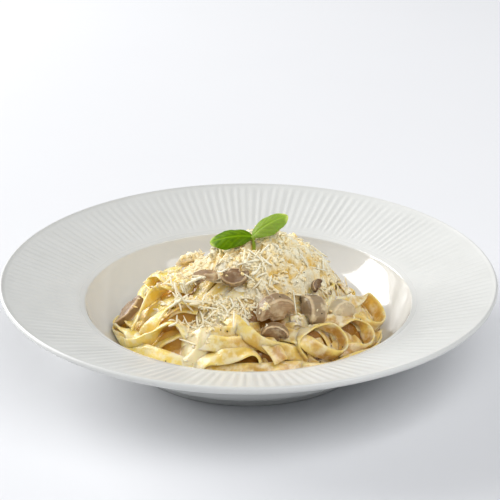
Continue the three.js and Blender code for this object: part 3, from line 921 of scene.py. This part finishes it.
# Where the sauce lies thickest: x, y, reach and how much.
SAUCE_PATCHES = [
    (-31, -58, 8, 2.0), (-21, -46, 12, 1.0), (-6, -36, 11, 0.9), (28, -40, 14, 0.9),
    (46, -28, 12, 0.9), (60, -8, 7, 1.2), (-58, -24, 7, 0.8), (0, 30, 30, 0.4),
]


def sauciness(places):
    """How thick the sauce lies at places, from 0 on the dry noodles to about 1."""
    spread = 0
    for x, y, reach, amount in SAUCE_PATCHES:
        gap = (places[..., 0] - x) ** 2 + (places[..., 1] - y) ** 2
        spread = spread + amount * np.exp(-gap / (reach * reach))
    return np.clip(spread + 0.18 * waves(places, 13), 0, 1.6)


def make_noodles(obstacles, surface):
    parts = [noodle_mesh(grid) for grid in make_noodle_grids(obstacles)]
    tones = np.concatenate([np.full(len(part[0]), 0.5 * rng.random()) for part in parts])
    edges = np.concatenate([edge for _, _, edge in parts])
    points, faces = joined([part[:2] for part in parts])
    # Painted light and shade: the tone rises towards the left, where light shines through the
    # noodles, and stays low towards the right, which lies in shade.
    leftwards = -points[:, 0]
    tones = 0.6 * tones + 0.3 * ramp(leftwards, -30, 20) + 0.4 * ramp(leftwards, 10, 40)
    marks = {"strand": tones, "sauced": 0.5 * sauciness(points), "edge": edges}
    placed(mesh_object("noodles", points, faces, pasta_paint(), **marks), "pasta", "pasta")
    surface.add(points, faces)


# ---- sauce


def blurred(field, reach):
    """A grid of heights, each averaged with those round it out to reach cells."""
    return smoothed(smoothed(field, reach).T.copy(), reach).T.copy()


def lowest_near(field, reach):
    low = field.copy()
    for _ in range(reach):
        for axis in (0, 1):
            low = np.minimum(low, np.minimum(np.roll(low, 1, axis), np.roll(low, -1, axis)))
    return low


SAUCE_RADIUS, SAUCE_FLOOR = 82.5, 7.6  # its edge on the well's wall, and how low it reaches
SAUCE_SINK = 6.0  # below the noodles' mean height where it is thin
HOLLOW_SINK, HOLLOW_RISE = 0.6, 10  # below their creases where it is thin, above them where thick
FIELD = 90  # half the side of the grid of heights, with a cell for each millimetre


def make_sauce(surface):
    """A skin that fills the creases between the noodles and closes underneath."""
    x, y = np.indices((2 * FIELD + 1, 2 * FIELD + 1)) - float(FIELD)
    core = heap_height(HEAP, np.stack([x, y], 2), CORE_DEPTH - 1)
    top = np.maximum(surface.height(x, y), core)
    amount = sauciness(np.stack([x, y, top], 2))
    level = blurred(top, 3) - SAUCE_SINK + SAUCE_SINK * amount
    hollow = blurred(lowest_near(top, 2), 2) - HOLLOW_SINK
    hollow = hollow + HOLLOW_RISE * ramp(amount, 0.6, 1.1)
    skin = np.maximum(blurred(np.minimum(level, hollow), 1), core)
    rings, columns = 96, 360
    angles = np.linspace(0, 2 * np.pi, columns, endpoint=False)
    edge = SAUCE_RADIUS + 1.2 * np.sin(3 * angles) + 0.9 * np.sin(7 * angles + 1)
    share = np.linspace(0.012, 1, rings)[:, None]
    px, py = share * edge * np.cos(angles), share * edge * np.sin(angles)
    i, j = np.floor(px + FIELD).astype(int), np.floor(py + FIELD).astype(int)
    u, v = px + FIELD - i, py + FIELD - j
    height = skin[i, j] * (1 - u) * (1 - v) + skin[i + 1, j] * u * (1 - v)
    height += skin[i, j + 1] * (1 - u) * v + skin[i + 1, j + 1] * u * v
    points = np.stack([px, py, height], 2).reshape(-1, 3)
    depth, way = wall_depth(points, gap=0.4)
    points += way * depth[:, None]
    low = points.reshape(rings, columns, 3)[::-8].reshape(-1, 3).copy()
    low[:, 2] = SAUCE_FLOOR
    depth, way = wall_depth(low, gap=0.2)
    low += way * depth[:, None]
    low[:columns, 2] = points[-columns:, 2] - 0.8
    poles = [[0, 0, points[:columns, 2].mean()], [0, 0, SAUCE_FLOOR]]
    faces = ringed_faces((len(points) + len(low)) // columns, columns)
    points = np.concatenate([points, low, poles])
    behind = 0.85 * ramp(points[:, 1], 0, 14)
    marks = {
        "thick": np.maximum(ramp(sauciness(points), 0.35, 0.85), behind),
        "lit": ramp(-points[:, 0], 5, 45),
    }
    placed(mesh_object("cream_sauce", points, faces, sauce_paint(), **marks), "pasta")
    surface.add(points, faces)


# ---- cheese


def shred_mesh(middles, directions, normals, lengths, widths, bends, twists, sections=6, flat=0.7):
    """Points and faces of curved four-sided shreds of cheese. flat is their thickness as a share
    of the width."""
    count = len(middles)
    along = np.linspace(-0.5, 0.5, sections)
    side = unit(np.cross(directions, normals))
    up = np.cross(side, directions)[:, None, :]
    forward, side = directions[:, None, :], side[:, None, :]
    length = lengths[:, None, None]
    arch = (1 / 12 - along[None, :, None] ** 2) * length
    path = middles[:, None, :] + forward * along[None, :, None] * length
    path += up * (bends[:, :1, None] * arch) + side * (bends[:, 1:, None] * arch)
    turn = twists[:, None] * along[None, :]
    taper = (1 - 0.6 * np.abs(2 * along) ** 4)[None, :] * widths[:, None] / 2
    cos, sin = (np.cos(turn) * taper)[..., None], (np.sin(turn) * taper)[..., None]
    wide, high = side * cos + up * sin, (up * cos - side * sin) * flat
    ring = np.stack([path + wide, path + high, path - wide, path - high], 2)
    ends = np.array([[0, 1, 2, 3], [3, 2, 1, 0]]) + [[0], [4 * (sections - 1)]]
    faces = np.concatenate([tube_faces(sections, 4), ends])
    faces = faces[None] + (np.arange(count) * sections * 4)[:, None, None]
    return ring.reshape(-1, 3), [faces.reshape(-1, 4)]


def random_directions(normals, tilt):
    """Directions along a surface, raised from it at random by about tilt radians."""
    turn = rng.random(len(normals)) * 2 * np.pi
    first = unit(np.cross(normals, [0.3, 0.2, 1.0]))
    second = np.cross(normals, first)
    flat = first * np.cos(turn)[:, None] + second * np.sin(turn)[:, None]
    return unit(flat + normals * np.tan(rng.normal(0, tilt, len(normals)))[:, None])


# A drift of cheese beside the pile: x, y, reach along both, and its depth.
SHOULDER, SHOULDER_DEPTH = (-31, 2, 16, 18), 3.0
CLUMPS, SMALL_CLUMPS = (8.5, 0.8), (4.0, 0.95)  # the balls it has gathered into: spacing, height
CLUMP_ROW = 0.87  # from one row of balls to the next, as a share of the spacing
# How far the bed lies below the crown all over, and how much more at its edge and where bare.
BED_SINK, BED_EDGE_DROP, BARE_DROP = 5.2, 4.5, 6
# Places that the cheese leaves bare: x, y and reach.
BARE = [(14.5, -44, 8.5), (35, -37, 8.5), (51, -28, 8.5), (-8, -30, 8), (-24, -25, 9),
        (36, -25, 4), (3, -11, 4.5), (26, -61, 9)]


def drift_mesh(surface, x, y, reach_x, reach_y, top):
    """A closed lumpy layer on what lies below it. top gives its height from the place and share."""
    rings, columns = round(2.3 * reach_y), 320
    angles = np.linspace(0, 2 * np.pi, columns, endpoint=False)
    share = np.linspace(0.02, 1, rings)[:, None]
    wobble = 1 + 0.05 * np.sin(3 * angles + 1) + 0.04 * np.sin(5 * angles)
    wobble += 0.03 * np.sin(11 * angles)
    spots_x = x + share * reach_x * wobble * np.cos(angles)
    spots_y = y + share * reach_y * wobble * np.sin(angles)
    under = surface.height(spots_x, spots_y)
    high = np.maximum(under - 0.6, top(np.stack([spots_x, spots_y, under], 2), share))
    low = np.minimum(under, high) - 1.5
    layers = np.stack([spots_x, spots_y, high], 2), np.stack([spots_x, spots_y, low], 2)[::-8]
    points = np.concatenate(layers)
    poles = [[x, y, high[0].mean()], [x, y, low[0].mean()]]
    faces = ringed_faces(len(points), columns)
    return np.concatenate([points.reshape(-1, 3), poles]), faces


def lumps(place):
    return waves(place, 9) + 1.1 * waves(place, 4.5, 2) + 0.55 * waves(place, 2.4, 5)


def make_clumps(spacing, height):
    """Rows of x, y, radius and height of balls on an uneven grid over the pile."""
    reach = np.ceil(CHEESE_SPREAD[1] / spacing / CLUMP_ROW)
    steps = np.arange(-reach, reach + 1)
    column, row = (part.ravel() for part in np.meshgrid(steps, steps))
    spots = np.stack([column + 0.5 * (row % 2), CLUMP_ROW * row], 1) * spacing + CHEESE_CENTRE
    spots += rng.normal(0, 0.24 * spacing, spots.shape)
    radius = rng.uniform(0.5, 0.85, len(spots)) * spacing
    return np.column_stack([spots, radius, height * radius])


def clump_rise(place, clumps):
    """How far the highest of the balls stands up at a place."""
    rise = np.zeros(place.shape[:-1])
    for x, y, radius, height in clumps:
        gap = ((place[..., 0] - x) ** 2 + (place[..., 1] - y) ** 2) / radius**2
        rise = np.maximum(rise, height * np.sqrt(np.maximum(1 - gap, 0)))
    return rise


def bareness(place):
    """How far the cheese leaves a place bare, from 0 to 1."""
    bare = np.zeros(place.shape[:-1])
    for x, y, reach in BARE:
        gap = np.hypot(place[..., 0] - x, place[..., 1] - y)
        bare = np.maximum(bare, 1 - ramp(gap, 0.75 * reach, 1.25 * reach))
    return bare


def thrown(spots, surface, step, tilt, raised):
    """Middles, directions and normals of crumbs thrown onto a surface, whose slope is taken over
    step. They lie above it by a distance in the range raised."""
    x, y = spots.T
    across = (surface.height(x + step, y) - surface.height(x - step, y)) / (2 * step)
    along = (surface.height(x, y + step) - surface.height(x, y - step)) / (2 * step)
    slope = np.clip(np.stack([across, along], 1), -2, 2)
    normals = unit(np.column_stack([-slope, np.ones(len(x))]))
    middles = np.column_stack([spots, surface.height(x, y)])
    middles += normals * rng.uniform(*raised, len(x))[:, None]
    return middles, random_directions(normals, tilt), normals


def make_cheese_bed(surface):
    """What the crumbs of cheese lie on: closed lumpy layers over the crown and beside it."""
    large, small = make_clumps(*CLUMPS), make_clumps(*SMALL_CLUMPS)

    def crown_top(place, share):
        rise = clump_rise(place, large) + clump_rise(place, small) + 0.3 * lumps(place)
        drop = BED_EDGE_DROP * ramp(share, 0.86, 1.0)
        crown = heap_height(CROWN, place) - BED_SINK
        return crown + rise - drop - BARE_DROP * bareness(place)

    def shoulder_top(place, share):
        return place[..., 2] + SHOULDER_DEPTH * (1 - share**2) - 0.5 + 0.5 * lumps(place)

    pile = drift_mesh(surface, *CHEESE_CENTRE, *(CHEESE_SPREAD * 0.96), crown_top)
    drift = drift_mesh(surface, *SHOULDER, shoulder_top)
    # Painted shade and light: the bed is painted dark golden in the hollows between the balls and
    # pale on their tops; the drift beside it gets a middle tone.
    painted_lump_shade = ramp(clump_rise(pile[0], large) / 4 + clump_rise(pile[0], small) / 2, 1.1, 2.9)
    points, faces = joined([pile, drift])
    bed = cheese_paint("cheese_bed", (240, 202, 104), (255, 250, 226), 0.8)
    painted_lump_shade = np.append(painted_lump_shade, np.full(len(drift[0]), 0.5))
    placed(mesh_object("cheese_base", points, faces, bed, strand=painted_lump_shade), "cheese")
    surface.add(points, faces)


def kept(spots, share):
    """The places on the heap that aren't left bare, and a small share of those that are."""
    on_top = np.hypot(*spots.T) < CHEESE_REACH
    return spots[on_top & (rng.random(len(spots)) > bareness(spots) * (1 - share))]


def patchwork(patches, spread):
    """Places scattered over patches, each given as x, y, reach and count."""
    spots = [rng.normal(0, spread * reach, (n, 2)) + [x, y] for x, y, reach, n in patches]
    return np.concatenate(spots)


def add_shreds(name, lie, sizes, material, tones=(0, 1), nodes=(), **form):
    """A piece of many shreds, from how they lie and their lengths, widths, bends and twists.
    One that has missed the food is left out."""
    aboard = lie[0][:, 2] > HEAP["base"]
    points, faces = shred_mesh(*(column[aboard] for column in (*lie, *sizes)), **form)
    tones = rng.uniform(*tones, len(aboard))[aboard]
    marks = {"strand": np.repeat(tones, len(points) // len(tones))}
    placed(mesh_object(name, points, faces, material, **marks), "cheese", *nodes)


PILE_COUNT = 1200
# Patches of loose shreds and of crumbs that stick to the sauce: x, y, reach and count.
SHRED_PATCHES = [
    (-24, -32, 18, 75), (-32, -42, 12, 16), (0, -42, 14, 20), (-42, -22, 14, 20), (2, -22, 12, 24),
    (20, -36, 18, 14), (48, -20, 14, 16), (-15, 25, 26, 30), (20, 48, 24, 40), (45, 30, 18, 22),
]
CRUMB_PATCHES = [
    (-22, -45, 10, 200), (-8, -34, 12, 320), (-28, -30, 14, 200), (30, -36, 12, 90),
    (50, -24, 10, 40), (-40, -5, 16, 100), (0, 50, 30, 200),
]


def make_cheese(surface):
    """Short curls over the bed, loose shreds round it and small crumbs on the sauce."""
    material = cheese_paint("grated_cheese", (255, 228, 160), (255, 249, 224), 0.15)
    reach = np.sqrt(rng.random(PILE_COUNT)) * 1.03
    turn = rng.random(PILE_COUNT) * 2 * np.pi
    spots = np.stack([np.cos(turn), np.sin(turn)], 1) * reach[:, None] * CHEESE_SPREAD
    spots += CHEESE_CENTRE
    dense = (ramp(spots[:, 0], -24, 4) * 0.75 + 0.25) * (1 - 0.6 * ramp(spots[:, 0], 12, 32))
    spots = spots[rng.random(PILE_COUNT) < dense]
    beside = rng.normal(0, 0.5, (40, 2)) * SHOULDER[2:] + SHOULDER[:2]
    behind = rng.normal(0, 7, (90, 2)) + [-32, 44]
    spots = kept(np.concatenate([spots, beside, behind]), 0.0)
    count = len(spots)
    lie = thrown(spots, surface, 1.6, 0.3, (-1.0, 0.2))
    lengths, widths = rng.uniform(2.5, 7, count), rng.uniform(1.8, 3.4, count)
    bends = rng.choice([-1, 1], (count, 2)) * rng.uniform(0.1, 1.2, (count, 2))
    sizes = lengths, widths, bends, rng.normal(0, 1.0, count)
    form = {"nodes": ["grated_cheese"], "sections": 8, "flat": 0.45}
    add_shreds("grated_cheese_pile", lie, sizes, material, **form)

    spots = kept(patchwork(SHRED_PATCHES, 0.55), 0.06)
    count = len(spots)
    lie = thrown(spots, surface, 3.0, 0.25, (0.6, 1.8))
    lengths, bends = rng.uniform(6, 15, count), rng.normal(0, 0.2, (count, 2))
    sizes = lengths, rng.uniform(1.0, 1.7, count), bends, rng.normal(0, 0.6, count)
    add_shreds("cheese_shreds", lie, sizes, material, tones=(0.5, 1.3), sections=9)

    spots = kept(patchwork(CRUMB_PATCHES, 0.6), 0.03)
    spots = np.concatenate([spots, rng.normal(0, 0.9, (18, 2)) + [9, -54]])
    count = len(spots)
    lie = thrown(spots, surface, 1.5, 0.5, (-0.1, 0.5))
    lengths, widths = rng.uniform(1.4, 3.4, count), rng.uniform(1.1, 2.0, count)
    sizes = lengths, widths, rng.normal(0, 1.0, (count, 2)), rng.normal(0, 1.0, count)
    add_shreds("cheese_crumbs", lie, sizes, material)


# ---- basil

LEAF_WIDTH, STEM_LENGTH = 14.5, 14
VEIN_PAIRS = 5.5
SPRIG_FOOT = np.array([3, -7, 61])
# Length, azimuth, rise, roll, curl and painted light of each leaf: how much paler the whole leaf is
# painted, where light falls on it.
LEAVES = [(23, 184, 12, -26, 11, 0.0), (20.5, 4, 54, 28, 12, 0.3)]


def leaf_mesh(length, azimuth, rise, roll, curl, painted_light):
    """A domed leaf with its veins pressed in, closed, and marks for its veins and for where it is
    paler: its underside, and a painted highlight on its tip.
    """
    rows, columns = 56, 33
    share = np.linspace(0, 1, rows)[:, None]
    across = np.linspace(-1, 1, columns)[None, :]
    outward = np.abs(across)
    outline = np.sin(np.pi * np.clip(share, 0.004, 0.996) ** 1.06) ** 0.52
    outline = outline * (1 + 0.015 * np.sin(share * 9 + 2 * np.sign(across)))
    x = share * length + 0 * across
    y = across * outline * LEAF_WIDTH / 2
    slant = (share - 0.34 * outward * outline) * VEIN_PAIRS
    groove = np.exp(-((np.mod(slant, 1) - 0.5) ** 2) / 0.02) * ramp(outward, 0.08, 0.25)
    midrib = np.exp(-((across * outline / 0.085) ** 2))
    pucker = 0.55 * np.cos(2 * np.pi * slant) * ramp(outward, 0.05, 0.45) * outline
    z = -2.6 * (across * outline) ** 2 - curl * share**2
    z += 0.14 * pucker - 0.45 * midrib * outline - 0.04 * groove
    z += 0.35 * np.sin(share * 15 + 1.5 * np.sign(across)) * outward**3 * outline
    half = 0.26 * outline**0.5 + 0.02
    top, under = np.stack([x, y, z + half], 2), np.stack([x, y, z - half], 2)
    ring = np.concatenate([top, under[:, ::-1]], 1).reshape(-1, 3)
    points = np.concatenate([ring, [top[0].mean(0), top[-1].mean(0)]])
    for axis, degrees in ((0, roll), (1, -rise), (2, azimuth)):
        points = points @ turn_about(axis, degrees).T
    vein = np.clip(0.35 * groove + 0.8 * midrib, 0, 1)
    vein = np.concatenate([vein, vein[:, ::-1] * 1.2], 1)
    # Painted highlight: the tip is painted paler, above the painted light of the whole leaf; the
    # underside is paler still, as basil's is.
    pale_and_sheen = painted_light + ramp(share + 0.12 * outward, 0.93, 1.08) * 0.8
    pale_and_sheen = np.concatenate([pale_and_sheen, pale_and_sheen[:, ::-1] + 0.25], 1)
    faces = ringed_faces(rows, 2 * columns)
    return points, faces, np.append(vein, [0.5, 0.2]), np.append(pale_and_sheen, [0.3, 0.5])


def make_basil():
    """The sprig: its leaves and the stalk that carries them."""
    joint = SPRIG_FOOT + [-0.6, 0, STEM_LENGTH - 0.8]
    parts, veins, pales = [], [], []
    for leaf in LEAVES:
        points, faces, vein, pale_and_sheen = leaf_mesh(*leaf)
        parts.append((points + joint, faces))
        veins.append(vein)
        pales.append(pale_and_sheen)
    rise = np.linspace(0, 1, 14)[:, None]
    spine = SPRIG_FOOT + rise * (joint - SPRIG_FOOT)
    spine[:, :1] += 0.5 * np.sin(3 * rise)
    angles = np.linspace(0, 2 * np.pi, 12, endpoint=False)
    thick = 0.95 + 0.35 * ramp(rise, 0.75, 1.0) + 0.15 * (1 - rise)
    ring = np.stack([np.cos(angles), np.sin(angles), 0 * angles], 1)
    stalk = (spine[:, None, :] + ring[None] * thick[..., None]).reshape(-1, 3)
    stalk = np.concatenate([stalk, [spine[0], spine[-1] + [0, 0, 0.8]]])
    parts.append((stalk, [faces[:, ::-1] for faces in ringed_faces(14, 12)]))
    veins.append(np.full(len(stalk), 0.9))
    pales.append(np.full(len(stalk), 0.35))
    points, faces = joined(parts)
    marks = {"vein": np.concatenate(veins), "pale_and_sheen": np.concatenate(pales)}
    sprig = mesh_object("basil_leaves", points, faces, basil_paint(), **marks)
    placed(sprig, "basil", "basil_sprig")


# ---- pepper


FLAKES, FLAKE_REACH = 60, 76


def make_pepper(surface):
    """Flakes of pepper, each an uneven box."""
    turn = rng.random(FLAKES) * 2 * np.pi
    reach = FLAKE_REACH * np.sqrt(rng.random(FLAKES))
    x, y = HEAP["x"] + reach * np.cos(turn), HEAP["y"] + reach * np.sin(turn)
    middles = np.stack([x, y, surface.height(x, y, 10) + 0.15], 1)
    corners = unit(rng.normal(size=(FLAKES, 8, 3)))
    corners = corners * rng.uniform(0.25, 0.62, (FLAKES, 1, 1)) * [1.4, 1, 0.5]
    level = [(-1, -1), (1, -1), (1, 1), (-1, 1)]
    box = np.array([(*corner, z) for z in (-1, 1) for corner in level])
    sides = [[k, (k + 1) % 4, (k + 1) % 4 + 4, k + 4] for k in range(4)]
    faces = np.array([[0, 3, 2, 1], [4, 5, 6, 7], *sides])
    parts = []
    for middle, wild in zip(middles, corners):
        size = np.linalg.norm(wild[0])
        parts.append((middle + (box * 0.5 + 0.35 * wild / size) * size, [faces]))
    points, faces = joined(parts)
    placed(mesh_object("pepper_flakes", points, faces, pepper_paint()), "pasta")


def slice_balls():
    """Balls that cover the slices of mushroom, for the noodles to keep out of."""
    balls = []
    for x, y, lift, turn, lean, spin, size, _, thickness, *_ in SLICES:
        middle, axes = slice_pose(x, y, lift, turn, lean, spin)
        radius = max(3.4 * size, 0.5 * thickness)
        balls += [(middle + axes[:, 0] * offset * size, radius) for offset in (-8, 0, 8)]
    return balls


make_plate()
mushroom_material = mushroom_paint()
slices = [make_slice(index, mushroom_material) for index in range(len(SLICES))]
surface = Surface()
make_noodles(slice_balls(), surface)
make_sauce(surface)
make_cheese_bed(surface)
for slice_points, slice_faces in slices:
    surface.add(slice_points, slice_faces)
make_cheese(surface)
make_basil()
make_pepper(surface)

# ---- stage

FLOOR_SPAN = 6000
floor_paint = Paint("studio_floor", Roughness=0.9, Specular_IOR_Level=0.15)
floor_tone = floor_paint.mix(floor_paint.noise(300), (228, 229, 232), (231, 232, 235))
floor_paint.link("Base Color", floor_tone)
floor_corners = np.array([[-1, -1, 0], [1, -1, 0], [1, 1, 0], [-1, 1, 0]]) * FLOOR_SPAN
floor = mesh_object("studio_floor", floor_corners, [np.array([[0, 1, 2, 3]])], floor_paint.material)

world = bpy.data.worlds.new("studio")
bpy.context.scene.world = world
world.use_nodes = True
sky = world.node_tree.nodes["Background"].inputs
sky["Color"].default_value = (0.93, 0.96, 1, 1)
sky["Strength"].default_value = 0.22


def softbox(name, place, aim, size, power, tint=(1, 1, 1)):
    """A rectangle of light at a place in metres, turned to its aim. power is in watts."""
    light = bpy.data.lights.new(name, "AREA")
    light.shape = "RECTANGLE"
    light.size, light.size_y = size
    light.energy = power
    light.color = tint
    lamp = bpy.data.objects.new(name, light)
    lamp.location = place
    lamp.rotation_euler = (Vector(aim) - Vector(place)).to_track_quat("-Z", "Y").to_euler()
    bpy.context.scene.collection.objects.link(lamp)


softbox("window", (-2.135, 1.135, 1.12), (0, 0, 0.06), (2.05, 1.7), 86, (1, 0.99, 0.975))
softbox("right_top", (0.72, -0.96, 1.75), (0, 0, 0), (2.4, 1.4), 33)
softbox("behind", (0, 1.1, 0.9), (0, 1.3, 0), (2.4, 1.0), 2.6)

# The camera looks along +Y and down. Its lens gives a field of view of 20.7 degrees.
CAMERA_ELEVATION, CAMERA_DISTANCE = 23.2, 0.8
AIM = Vector((0.87, 0, 62.8)) * MM
camera = bpy.data.objects.new("camera", bpy.data.cameras.new("camera"))
camera.data.lens = 98.4
camera.data.sensor_width = 36
camera.data.clip_end = 50
tilt = np.radians(CAMERA_ELEVATION)
camera.location = AIM + CAMERA_DISTANCE * Vector((0, -np.cos(tilt), np.sin(tilt)))
camera.rotation_euler = (np.pi / 2 - tilt, 0, 0)
bpy.context.scene.collection.objects.link(camera)
bpy.context.scene.camera = camera
bpy.context.scene.view_settings.view_transform = "Standard"
